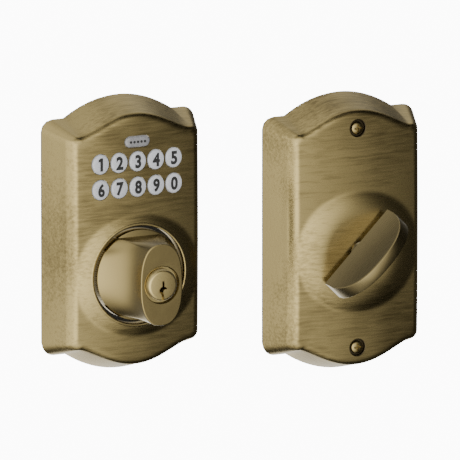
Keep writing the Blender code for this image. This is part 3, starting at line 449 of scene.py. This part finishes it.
BRASS_LIGHT = (0.375, 0.3, 0.14)
BRASS_DARK = (0.15, 0.117, 0.053)
housing_brass = brushed_metal("housing_brass", BRASS_LIGHT, BRASS_DARK, 0.26, (0.05, 1, 1), 850, 0.5, 0.9)
upright = housing_brass.node_tree.nodes.new("ShaderNodeTangent")
upright.direction_type = "RADIAL"
upright.axis = "X"
lacquered = housing_brass.node_tree.nodes["Principled BSDF"]
lacquered.inputs["Anisotropic"].default_value = 0.7
housing_brass.node_tree.links.new(upright.outputs["Tangent"], lacquered.inputs["Tangent"])

OPENING = 22.7
RIM_CUT = 23.4
KEY_HALF_WIDTH = 4.1
KEY_HALF_HEIGHT = 4.55
KEY_PITCH = (9.13, 11.8)
KEY_TOP_ROW = 36.3
PILL_HALF_WIDTH = 6.1
PILL_HALF_HEIGHT = 2.45
PILL_HEIGHT = OUTSIDE_CENTRE + 45.4
KEY_HOLE_GAP = 0.3


def oval(half_width, half_height, x, z, steps=40):
    turns = [math.tau * i / steps for i in range(steps)]
    return [(x + half_width * math.cos(a), z + half_height * math.sin(a)) for a in turns]


def pill(half_width, half_height, x, z, per_end=16):
    reach = half_width - half_height
    points = []
    for side, start in ((1, -90), (-1, 90)):
        for i in range(per_end + 1):
            angle = math.radians(start + 180 * i / per_end)
            end = x + side * reach
            points.append((end + half_height * math.cos(angle), z + half_height * math.sin(angle)))
    return points


key_places = {}
for index in range(10):
    column, row = index % 5 - 2, index // 5
    key_places[(index + 1) % 10] = (column * KEY_PITCH[0], OUTSIDE_CENTRE + KEY_TOP_ROW - row * KEY_PITCH[1])

# How far the shoulders and the arch fall from the door to the wall's front, the arch's softness and its growth.
OUTSIDE_FORM = (4.7, 4.6, 1.6, 0.0)
INSIDE_FORM = (4.7, 4.3, 1.4, INSIDE_GROWTH)
outside_shell = link_mesh("outside_shell", housing_shell(0, OUTSIDE_CENTRE, 2.0, OUTSIDE_FORM), 30)
cut(
    outside_shell,
    turned([(0, 15), (RIM_CUT, 15), (RIM_CUT, 35), (0, 35)]),
    prism(pill(PILL_HALF_WIDTH + KEY_HOLE_GAP, PILL_HALF_HEIGHT + KEY_HOLE_GAP, 0, PILL_HEIGHT), 15, 35),
    *[
        prism(oval(KEY_HALF_WIDTH + KEY_HOLE_GAP, KEY_HALF_HEIGHT + KEY_HOLE_GAP, x, z), 15, 35)
        for x, z in key_places.values()
    ],
)
outside_shell.data.materials.append(housing_brass)
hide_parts("outside_housing")
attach(outside_shell, "lock")
outside_shell.visible_glossy = False

rim_depth = face_depth(0, RIM_CUT, OUTSIDE_CENTRE)
opening_rim = link_mesh(
    "opening_rim",
    turned(
        [
            (OPENING, 19.7), (24.2, 19.7), (24.2, rim_depth - 0.3), (23.9, rim_depth - 0.02),
            (23.5, rim_depth + 0.1), (23.1, rim_depth + 0.12), (22.85, rim_depth), (OPENING, rim_depth - 0.3),
        ],
        steps=160,
    ),
    50,
)
opening_rim.data.materials.append(housing_brass)
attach(opening_rim, "lock")

SCREW_UP = 51.1
SCREW_RECESS = 4.15
SPINDLE_HOLE = 5.0
inside_shell = link_mesh("inside_shell", housing_shell(INSIDE_X, INSIDE_CENTRE, 1.6, INSIDE_FORM), 30)
screw_heights = {"top": INSIDE_CENTRE + SCREW_UP, "bottom": INSIDE_CENTRE - SCREW_UP}
cut(
    inside_shell,
    turned([(0, 15), (SPINDLE_HOLE, 15), (SPINDLE_HOLE, 35), (0, 35)], INSIDE_X),
    *[turned([(0, 15), (SCREW_RECESS, 15), (SCREW_RECESS, 35), (0, 35)], INSIDE_X, z)
      for z in screw_heights.values()],
)
inside_shell.data.materials.append(housing_brass)
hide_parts("inside_cover")
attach(inside_shell, "lock")
inside_shell.visible_glossy = False

# Brass painted nearly black for the screw cups: painted shade inside the recesses round the screw heads.
painted_shade_cup_brass = brushed_metal(
    "painted_shade_cup_brass", (0.10, 0.08, 0.045), (0.05, 0.04, 0.025), 0.4, (1, 1, 1), 900, 0.1, 0.3
)
for end, z in screw_heights.items():
    face = face_depth(0, z, INSIDE_CENTRE)
    cup = link_mesh(
        f"screw_cup_{end}",
        turned(
            [
                (2.2, 19.6), (SCREW_RECESS + 0.7, 19.6), (SCREW_RECESS + 0.7, face - 0.5),
                (SCREW_RECESS, face - 0.02),
                (SCREW_RECESS - 0.25, face - 0.15), (SCREW_RECESS - 0.4, face - 0.5),
                (SCREW_RECESS - 0.4, face - 1.6), (2.2, face - 1.6),
            ],
            INSIDE_X, z, 64,
        ),
    )
    cup.data.materials.append(painted_shade_cup_brass)
    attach(cup, "lock")

# The ten oval keys. Each is a moulded cap, coated silver with a fine speckle, with its digit printed in
# black. They come up through the housing from a silicone mat.
KEY_PROUD = 0.9
KEY_FOOT = 18.6
INK = 0.015
DIGIT_HEIGHT = 6.2
DIGIT_WIDTH = 0.84
DIGIT_WEIGHT = 0.045


def speckled(name, light, dark, roughness, metallic, bump):
    """A sprayed coating with fine metal flake."""
    material = bpy.data.materials.new(name)
    material.use_nodes = True
    tree = material.node_tree
    shader = tree.nodes["Principled BSDF"]
    shader.inputs["Metallic"].default_value = metallic
    shader.inputs["Roughness"].default_value = roughness
    place = tree.nodes.new("ShaderNodeTexCoord")
    flake = tree.nodes.new("ShaderNodeTexNoise")
    flake.inputs["Scale"].default_value = 2600
    flake.inputs["Detail"].default_value = 3
    tree.links.new(place.outputs["Object"], flake.inputs["Vector"])
    tone = tree.nodes.new("ShaderNodeValToRGB")
    tone.color_ramp.elements[0].position = 0.35
    tone.color_ramp.elements[0].color = (*dark, 1)
    tone.color_ramp.elements[1].position = 0.65
    tone.color_ramp.elements[1].color = (*light, 1)
    tree.links.new(flake.outputs["Fac"], tone.inputs["Fac"])
    tree.links.new(tone.outputs["Color"], shader.inputs["Base Color"])
    relief = tree.nodes.new("ShaderNodeBump")
    relief.inputs["Strength"].default_value = bump
    relief.inputs["Distance"].default_value = 0.00005
    tree.links.new(flake.outputs["Fac"], relief.inputs["Height"])
    tree.links.new(relief.outputs["Normal"], shader.inputs["Normal"])
    return material


key_silver = speckled("key_silver", (0.62, 0.63, 0.66), (0.43, 0.44, 0.465), 0.42, 0.2, 0.3)
key_ink = speckled("key_ink", (0.012, 0.012, 0.013), (0.006, 0.006, 0.007), 0.5, 0, 0.1)


def button_cap(outline_at, top, low):
    """A cap with an upright side, a rounded shoulder and a faintly domed top. outline_at takes an inset."""
    levels = [(0, low), (0, top - 0.75), (0.08, top - 0.52), (0.3, top - 0.32), (0.7, top - 0.2),
              (1.4, top - 0.1), (2.3, top - 0.02)]
    bm = bmesh.new()
    loops = []
    for inset, depth in levels:
        loops.append(loop_of(bm, [(x, -depth, z) for x, z in outline_at(inset)]))
    bridge(bm, loops)
    bmesh.ops.contextual_create(bm, geom=loops[0])
    bmesh.ops.contextual_create(bm, geom=loops[-1])
    bmesh.ops.recalc_face_normals(bm, faces=bm.faces)
    bmesh.ops.scale(bm, vec=(MM, MM, MM), verts=bm.verts)
    return bm


def printed_text(name, words, height, width_scale, weight, depth, x, z):
    """Flat bold figures, made a thin mesh and set upright on a face."""
    curve = bpy.data.curves.new(name, "FONT")
    curve.body = words
    curve.align_x = "CENTER"
    curve.size = 1
    curve.offset = weight
    curve.extrude = 0.02
    curve.resolution_u = 6
    text = bpy.data.objects.new(name, curve)
    bpy.context.scene.collection.objects.link(text)
    bpy.context.view_layer.update()
    graph = bpy.context.evaluated_depsgraph_get()
    mesh = bpy.data.meshes.new_from_object(text.evaluated_get(graph))
    bpy.data.objects.remove(text)
    low = Vector([min(v.co[i] for v in mesh.vertices) for i in range(3)])
    high = Vector([max(v.co[i] for v in mesh.vertices) for i in range(3)])
    scale = height / (high.y - low.y)
    middle = (low + high) / 2
    for vertex in mesh.vertices:
        across, up, out = vertex.co - middle
        vertex.co = Vector((x + across * scale * width_scale, -depth - out * 1.5, z + up * scale)) * MM
    piece = bpy.data.objects.new(name, mesh)
    bpy.context.scene.collection.objects.link(piece)
    return piece


for digit, (x, z) in key_places.items():
    top = face_depth(x, z, OUTSIDE_CENTRE) + KEY_PROUD
    cap = link_mesh(
        f"cap_{digit}",
        button_cap(lambda inset: oval(KEY_HALF_WIDTH - inset, KEY_HALF_HEIGHT - inset, x, z, 48), top, KEY_FOOT),
        50,
    )
    cap.data.materials.append(key_silver)
    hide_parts(f"key_{digit}")
    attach(cap, f"button_{digit}")
    if digit == 1:
        strokes = [(-0.35, 3.05), (0.95, 3.05), (0.95, -3.05), (-0.5, -3.05), (-0.5, 1.55), (-1.5, 1.2),
                   (-1.5, 2.2)]
        figure = link_mesh("digit_1", prism([(x + a * 0.9, z + b) for a, b in strokes], top - 0.06, top + INK))
    else:
        shown = "9" if digit == 6 else str(digit)
        sizes = (DIGIT_HEIGHT, DIGIT_WIDTH, DIGIT_WEIGHT)
        figure = printed_text(f"digit_{digit}", shown, *sizes, top - 0.03, x, z)
        if digit == 6:  # a nine turned half round
            for vertex in figure.data.vertices:
                vertex.co.x = 2 * x * MM - vertex.co.x
                vertex.co.z = 2 * z * MM - vertex.co.z
    figure.data.materials.append(key_ink)
    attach(figure, f"button_{digit}")

# The pill button over the keys wakes the keypad. It is moulded and coated like the keys, with a plain row of
# dots printed on it.
pill_top = face_depth(0, PILL_HEIGHT, OUTSIDE_CENTRE) + KEY_PROUD
pill_silver = speckled("pill_silver", (0.34, 0.335, 0.345), (0.22, 0.218, 0.225), 0.38, 0.4, 0.4)
pill_cap = link_mesh(
    "pill_cap",
    button_cap(lambda inset: pill(PILL_HALF_WIDTH - inset, PILL_HALF_HEIGHT - inset * 0.8, 0, PILL_HEIGHT),
               pill_top, KEY_FOOT),
    50,
)
pill_cap.data.materials.append(pill_silver)
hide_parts("status_button")
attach(pill_cap, "button_status")
DOT_PITCH = 1.75
DOT_RADIUS = 0.62
for index in range(5):
    x = (index - 2) * DOT_PITCH
    dot = link_mesh(f"status_dot_{index + 1}",
                    prism(oval(DOT_RADIUS, DOT_RADIUS, x, PILL_HEIGHT, 24), pill_top - 0.3, pill_top + INK))
    dot.data.materials.append(key_ink)
    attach(dot, "button_status")

# The outside turn: a die-cast knob whose round foot runs in the opening. Its flanks sweep in to a flat,
# round-ended face, and its ends are cut flat. It is plated like the housing but polished satin.
TURN_DISC = 21.1
TURN_DISC_FRONT = 25.0
TURN_FRONT = 48.5
TURN_HALF_WIDTH = 10.4
TURN_HALF_HEIGHT = 18.9
TURN_CUT = 18.0
PLUG_HOLE = 8.4
TURN_STEPS = 30
TURN_END_STEPS = 16
TURN_SWEEP = 2.6
TURN_SQUARENESS = 0.8
TURN_CORNER = math.radians(54)
turn_brass = brushed_metal(
    "turn_brass", (0.31, 0.247, 0.115), (0.265, 0.21, 0.098), 0.22, (0.3, 1, 0.3), 900, 0.06, 0.2
)


def turn_section(share):
    """A section of the turn, from its foot (0) to its face (1)."""
    cut_angle = math.asin(TURN_CUT / TURN_DISC)
    hollow = (1 - share) ** TURN_SWEEP
    quarter = []
    for i in range(TURN_STEPS + 1):
        part = i / TURN_STEPS
        angle = cut_angle * part
        foot = (TURN_DISC * math.cos(angle), TURN_DISC * math.sin(angle))
        angle = TURN_CORNER * part
        top = (
            TURN_HALF_WIDTH * math.cos(angle) ** TURN_SQUARENESS,
            TURN_HALF_HEIGHT * math.sin(angle) ** TURN_SQUARENESS,
        )
        quarter.append((top[0] + (foot[0] - top[0]) * hollow, foot[1] + (top[1] - foot[1]) * share))
    foot_x = TURN_DISC * math.cos(cut_angle)
    across = []
    for i in range(1, TURN_END_STEPS):
        part = i / TURN_END_STEPS
        angle = TURN_CORNER + (math.pi - 2 * TURN_CORNER) * part
        top_x = TURN_HALF_WIDTH * abs(math.cos(angle)) ** TURN_SQUARENESS * math.copysign(1, math.cos(angle))
        top_z = TURN_HALF_HEIGHT * math.sin(angle) ** TURN_SQUARENESS
        foot_at = foot_x * (1 - 2 * part)
        across.append((top_x + (foot_at - top_x) * hollow, TURN_CUT + (top_z - TURN_CUT) * share))
    upper = quarter + across + [(-x, z) for x, z in reversed(quarter)]
    points = upper[:-1] + [(-x, -z) for x, z in upper[:-1]]
    depth = TURN_DISC_FRONT + (TURN_FRONT - TURN_DISC_FRONT) * share
    return [(x, -depth, z) for x, z in points]


bm = bmesh.new()
shares = [i / 28 for i in range(28)] + [0.985]
sections = [[(x, y + 4, z) for x, y, z in turn_section(0)]]
sections += [turn_section(share) for share in shares]
face_section = turn_section(1)
sections.append([(x * 0.992, -TURN_FRONT + 0.12, z * 0.995) for x, y, z in face_section])
sections.append([(x * 0.972, -TURN_FRONT + 0.01, z * 0.985) for x, y, z in face_section])
sections.append([(x * 0.94, -TURN_FRONT, z * 0.965) for x, y, z in face_section])
loops = [loop_of(bm, section) for section in sections]
bridge(bm, loops)
bmesh.ops.contextual_create(bm, geom=loops[0])
bmesh.ops.contextual_create(bm, geom=loops[-1])
bmesh.ops.recalc_face_normals(bm, faces=bm.faces)
bmesh.ops.scale(bm, vec=(MM, MM, MM), verts=bm.verts)
turn_handle = link_mesh("turn_handle", bm, 32)
cut(turn_handle, turned([(0, 22), (PLUG_HOLE, 22), (PLUG_HOLE, 46.6), (PLUG_HOLE + 0.05, 48.1),
                         (PLUG_HOLE + 0.5, 48.6), (PLUG_HOLE + 0.5, 50), (0, 50)]))
turn_handle.data.materials.append(turn_brass)
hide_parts("outside_turn")
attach(turn_handle, "outside_turn")
turn_handle.visible_glossy = False
turn_foot = link_mesh(
    "turn_foot",
    turned(
        [
            (8.9, TURN_DISC_FRONT), (20.4, TURN_DISC_FRONT), (20.9, TURN_DISC_FRONT - 0.15),
            (TURN_DISC, TURN_DISC_FRONT - 0.5),
            (TURN_DISC, 20.2), (16, 20.2), (16, 17.1), (14.8, 17.1), (14.8, 15.7), (16, 15.7), (16, 14.9),
            (13.5, 14.9), (13.5, 10.9), (8.9, 10.9),
        ],
        steps=128,
    ),
)
turn_foot.data.materials.append(turn_brass)
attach(turn_foot, "outside_turn")

# The key plug: a turned brass barrel that the key goes into. A milled keyway with its wards runs down to the
# plug's lower edge.
PLUG_FACE = 7.1
PLUG_FRONT = 50.0
plug_brass = brushed_metal(
    "plug_brass", (0.52, 0.42, 0.2), (0.45, 0.365, 0.172), 0.28, (1, 1, 1), 1800, 0.1, 0.3
)
plug = link_mesh(
    "plug",
    turned(
        [
            (0, PLUG_FRONT), (6.0, PLUG_FRONT), (6.5, PLUG_FRONT - 0.08), (6.85, PLUG_FRONT - 0.3),
            (PLUG_FACE, PLUG_FRONT - 0.7), (PLUG_FACE, 46.6), (6.35, 46.6), (6.35, 19.5), (0, 19.5),
        ],
    ),
)
keyway = [
    (-0.45, 2.0), (-0.45, -0.5), (-1.2, -0.9), (-1.75, -1.5), (-2.0, -2.3), (-1.8, -3.1), (-1.2, -3.7),
    (-0.8, -4.4), (-0.75, -7.4), (0.35, -7.4), (0.3, -4.2), (-0.1, -3.2), (0.1, -2.3), (0.7, -1.8),
    (1.5, -1.75), (2.0, -2.1), (1.75, -1.3), (1.2, -0.8), (0.55, -0.5), (0.55, 2.0),
]
cut(plug, prism(keyway, 30, 55))
plug.data.materials.append(plug_brass)
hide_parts("key_plug")
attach(plug, "plug")

# The thumbturn: a half-round blade on a short spindle, cast and plated like the outside turn. Its brass is
# painted a little darker and browner than the outside turn's, as painted shade on the hollowed cheeks. Its
# cheeks are hollowed for finger and thumb, and its foot is straight.
BLADE_HALF_LENGTH = 22.3
BLADE_HEIGHT = 23.4
BLADE_FOOT_HALF = 5.0
BLADE_RIDGE_HALF = 2.65
BLADE_ANGLE = math.radians(45)
BLADE_GAP = 2.2
BLADE_SQUARENESS = 2.4
BLADE_HOLLOW = 1.8
BLADE_LEVELS = 14


def blade_section(reach):
    """A section across the blade, at a distance along it."""
    foot = DOME_APEX + BLADE_GAP
    fullness = 1 - (abs(reach) / (BLADE_HALF_LENGTH + 0.3)) ** BLADE_SQUARENESS
    ridge = foot + BLADE_HEIGHT * fullness ** (1 / BLADE_SQUARENESS)
    side = []
    for i in range(BLADE_LEVELS + 1):
        depth = foot + (ridge - foot) * i / BLADE_LEVELS
        share = min(1, (depth - foot) / BLADE_HEIGHT)
        half = BLADE_RIDGE_HALF + (BLADE_FOOT_HALF - BLADE_RIDGE_HALF) * (1 - share) ** BLADE_HOLLOW
        side.append((half, depth))
    half, depth = side[-1]
    side[-1] = (half, depth - 0.35)
    side += [(half - 0.12, depth - 0.1), (half - 0.4, depth)]
    points = side + [(-half, depth) for half, depth in reversed(side)]
    return [
        (
            INSIDE_X + reach * math.cos(BLADE_ANGLE) - half * math.sin(BLADE_ANGLE),
            -depth,
            reach * math.sin(BLADE_ANGLE) + half * math.cos(BLADE_ANGLE),
        )
        for half, depth in points
    ]


bm = bmesh.new()
reaches = [BLADE_HALF_LENGTH * math.sin(math.radians(90 * i / 24)) for i in range(-24, 25)]
loops = [loop_of(bm, blade_section(reach)) for reach in reaches]
bridge(bm, loops)
bmesh.ops.contextual_create(bm, geom=loops[0])
bmesh.ops.contextual_create(bm, geom=loops[-1])
bmesh.ops.recalc_face_normals(bm, faces=bm.faces)
bmesh.ops.scale(bm, vec=(MM, MM, MM), verts=bm.verts)
blade = link_mesh("blade", bm, 35)
# A darker copy of the turn's brass: painted shade for the blade's hollowed cheeks.
painted_shade_cheek_brass = brushed_metal(
    "painted_shade_cheek_brass", (0.22, 0.178, 0.09), (0.175, 0.142, 0.072), 0.26, (0.3, 1, 0.3), 900, 0.06, 0.2
)
blade.data.materials.append(painted_shade_cheek_brass)
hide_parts("thumbturn")
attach(blade, "thumbturn")
spindle = link_mesh(
    "spindle",
    turned(
        [
            (0, 30), (4.5, 30), (4.6, 28.6), (4.6, 22.1), (3.6, 22.1), (3.6, 20.9), (4.6, 20.9), (4.6, 14),
            (3, 14), (3, 10), (0, 10),
        ],
        INSIDE_X,
    ),
)
spindle.data.materials.append(turn_brass)
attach(spindle, "thumbturn")

# The two cover screws: truss heads with a cross recess, plated to match, sunk in round cups.
HEAD_RADIUS = 2.95


def cross(half_length, half_width, x, z):
    corners = []
    for turn in range(4):
        angle = math.pi / 2 * turn
        for across, along in ((-half_width, half_length), (-half_width * 0.2 + half_width, half_length),
                              (half_width, half_width)):
            corners.append(
                (x + across * math.cos(angle) + along * math.sin(angle),
                 z - across * math.sin(angle) + along * math.cos(angle))
            )
    return corners


for end, z in screw_heights.items():
    head = face_depth(0, z, INSIDE_CENTRE) + 0.2
    screw = link_mesh(
        f"screw_{end}",
        turned(
            [
                (0, head), (1.2, head - 0.03), (2.0, head - 0.17), (2.6, head - 0.45), (2.88, head - 0.75),
                (HEAD_RADIUS, head - 1.1), (HEAD_RADIUS, head - 1.75), (1.6, head - 1.75), (1.6, 0.3),
                (0, 0.3),
            ],
            INSIDE_X, z, 64,
        ),
    )
    cut(screw, prism(cross(1.75, 0.42, INSIDE_X, z), head - 1.3, head + 1))
    screw.data.materials.append(turn_brass)
    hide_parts(f"cover_screw_{end}")
    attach(screw, "lock")

# The pieces inside and behind: plated steel, black plastic, rubber, silicone and circuit board. Their shapes
# are as built, and each kind gets its own surface.


def worked(name, light, dark, roughness, metallic, scale, stretch, bump):
    """A plain worked surface: two close tones, uneven gloss and a fine relief."""
    material = bpy.data.materials.new(name)
    material.use_nodes = True
    tree = material.node_tree
    shader = tree.nodes["Principled BSDF"]
    shader.inputs["Metallic"].default_value = metallic
    place = tree.nodes.new("ShaderNodeTexCoord")
    line_up = tree.nodes.new("ShaderNodeMapping")
    line_up.inputs["Scale"].default_value = stretch
    tree.links.new(place.outputs["Object"], line_up.inputs["Vector"])
    grain = tree.nodes.new("ShaderNodeTexNoise")
    grain.inputs["Scale"].default_value = scale
    grain.inputs["Detail"].default_value = 4
    tree.links.new(line_up.outputs["Vector"], grain.inputs["Vector"])
    tone = tree.nodes.new("ShaderNodeValToRGB")
    tone.color_ramp.elements[0].position = 0.35
    tone.color_ramp.elements[0].color = (*dark, 1)
    tone.color_ramp.elements[1].position = 0.65
    tone.color_ramp.elements[1].color = (*light, 1)
    tree.links.new(grain.outputs["Fac"], tone.inputs["Fac"])
    tree.links.new(tone.outputs["Color"], shader.inputs["Base Color"])
    gloss = tree.nodes.new("ShaderNodeMapRange")
    gloss.inputs["To Min"].default_value = roughness - 0.07
    gloss.inputs["To Max"].default_value = roughness + 0.07
    tree.links.new(grain.outputs["Fac"], gloss.inputs["Value"])
    tree.links.new(gloss.outputs["Result"], shader.inputs["Roughness"])
    relief = tree.nodes.new("ShaderNodeBump")
    relief.inputs["Strength"].default_value = bump
    relief.inputs["Distance"].default_value = 0.0001
    tree.links.new(grain.outputs["Fac"], relief.inputs["Height"])
    tree.links.new(relief.outputs["Normal"], shader.inputs["Normal"])
    return material


finishes = {
    "steel": worked("zinc_plate", (0.60, 0.60, 0.61), (0.44, 0.45, 0.47), 0.32, 1, 260, (1, 1, 1), 0.25),
    "dark_steel": worked(
        "black_oxide", (0.050, 0.048, 0.045), (0.022, 0.021, 0.020), 0.45, 0.7, 300, (1, 1, 1), 0.3
    ),
    "battery_case": worked(
        "battery_jacket", (0.035, 0.036, 0.04), (0.018, 0.018, 0.02), 0.3, 0.3, 500, (0.1, 1, 1), 0.1
    ),
    "rubber": worked(
        "gasket_rubber", (0.020, 0.020, 0.020), (0.010, 0.010, 0.010), 0.85, 0, 1400, (1, 1, 1), 0.9
    ),
    "silicone": worked(
        "mat_silicone", (0.36, 0.37, 0.39), (0.28, 0.29, 0.31), 0.55, 0, 700, (1, 1, 1), 0.2
    ),
    "board_green": worked(
        "solder_mask", (0.015, 0.11, 0.045), (0.008, 0.07, 0.03), 0.35, 0, 400, (1, 1, 1), 0.15
    ),
    "black_plastic": worked(
        "black_moulding", (0.022, 0.022, 0.023), (0.013, 0.013, 0.014), 0.5, 0, 1600, (1, 1, 1), 0.5
    ),
    "plug_brass": plug_brass,
    "key_silver": key_silver,
    "turn_brass": turn_brass,
    "housing_brass": housing_brass,
    "screw_brass": turn_brass,
}
for entry in frame["record"]["subparts"]:
    node = frame["nodes"][entry["node"]]
    node.data.materials.clear()
    node.data.materials.append(finishes[entry["material_slot"]])
    node.visible_glossy = False
